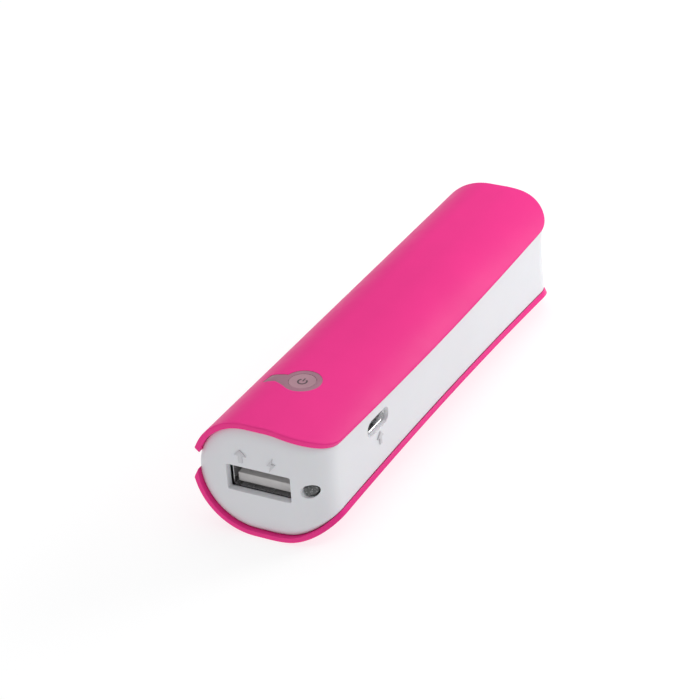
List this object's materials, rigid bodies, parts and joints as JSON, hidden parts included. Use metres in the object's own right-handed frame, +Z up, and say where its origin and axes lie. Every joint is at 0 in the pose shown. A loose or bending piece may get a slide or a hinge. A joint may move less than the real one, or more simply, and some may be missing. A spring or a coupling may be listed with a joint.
{
  "type": "power bank",
  "caption": "Pocket power bank: white housing with a curved cover above and below, USB-A output in the front face, micro-USB input in the side and a round push button on top.",
  "frame": {"origin": "centre of the footprint on the surface it rests on", "axes": "+X towards the flat side with the charging input, +Y from the output face to the rear, +Z up through the button"},
  "size_m": [0.0274, 0.1028, 0.0242],
  "materials": {
    "pink_cover": "soft satin",
    "white_housing": "satin",
    "smoked_plastic": "smoked, translucent",
    "button_plastic": "smooth",
    "board_laminate": "solder mask",
    "plated_steel": "tin plated",
    "nickel_strip": "nickel plated",
    "contact_plating": "gold plated",
    "black_plastic": "moulded",
    "grey_plastic": "moulded",
    "ivory_plastic": "moulded",
    "cell_wrap_film": "shrink film",
    "electrode_roll": "wound foil",
    "ceramic_brown": "ceramic",
    "ferrite_grey": "ferrite",
    "red_insulation": "wire insulation",
    "black_insulation": "wire insulation",
    "foam": "foam",
    "led_epoxy": "clear epoxy"
  },
  "bodies": {
    "housing": {"housing_base": "white_housing", "housing_lid": "white_housing", "top_cover": "pink_cover", "bottom_cover": "pink_cover", "indicator_window": "smoked_plastic", "switch_base": "black_plastic", "switch_cover": "plated_steel", "switch_dome": "nickel_strip", "circuit_board": "board_laminate", "board_screw_1": "plated_steel", "board_screw_2": "plated_steel", "usb_a_shell": "plated_steel", "usb_a_tongue": "grey_plastic", "usb_a_contact_1": "contact_plating", "usb_a_contact_2": "contact_plating", "usb_a_contact_3": "contact_plating", "usb_a_contact_4": "contact_plating", "micro_usb_shell": "plated_steel", "micro_usb_tongue": "black_plastic", "micro_usb_contact_1": "contact_plating", "micro_usb_contact_2": "contact_plating", "micro_usb_contact_3": "contact_plating", "micro_usb_contact_4": "contact_plating", "micro_usb_contact_5": "contact_plating", "front_led": "led_epoxy", "front_led_leg_1": "plated_steel", "front_led_leg_2": "plated_steel", "status_led": "ivory_plastic", "charger_chip": "black_plastic", "boost_chip": "black_plastic", "inductor": "ferrite_grey", "capacitor_1": "ceramic_brown", "capacitor_2": "ceramic_brown", "capacitor_3": "ceramic_brown", "bulkhead": "ivory_plastic", "cell_can": "plated_steel", "cell_winding": "electrode_roll", "cell_seal": "black_plastic", "cell_positive_cap": "nickel_strip", "cell_end_ring": "ivory_plastic", "cell_film": "cell_wrap_film", "positive_tab": "nickel_strip", "negative_tab": "nickel_strip", "positive_lead": "red_insulation", "negative_lead": "black_insulation", "foam_pad": "foam"},
    "button": {"power_button": "button_plastic"},
    "switch_plunger": {"switch_stem": "ivory_plastic"}
  },
  "joints": [
    {"name": "button_press", "type": "slide", "parent": "housing", "child": "button", "axis": [0, 0, -1], "range_m": [0, 0.00035], "stiffness_N_per_m": 1500},
    {"name": "switch_stem_press", "type": "slide", "parent": "housing", "child": "switch_plunger", "axis": [0, 0, -1], "range_m": [0, 0.00035]}
  ],
  "couplings": [
    {"joint": "switch_stem_press", "follows": "button_press", "ratio": 1}
  ]
}
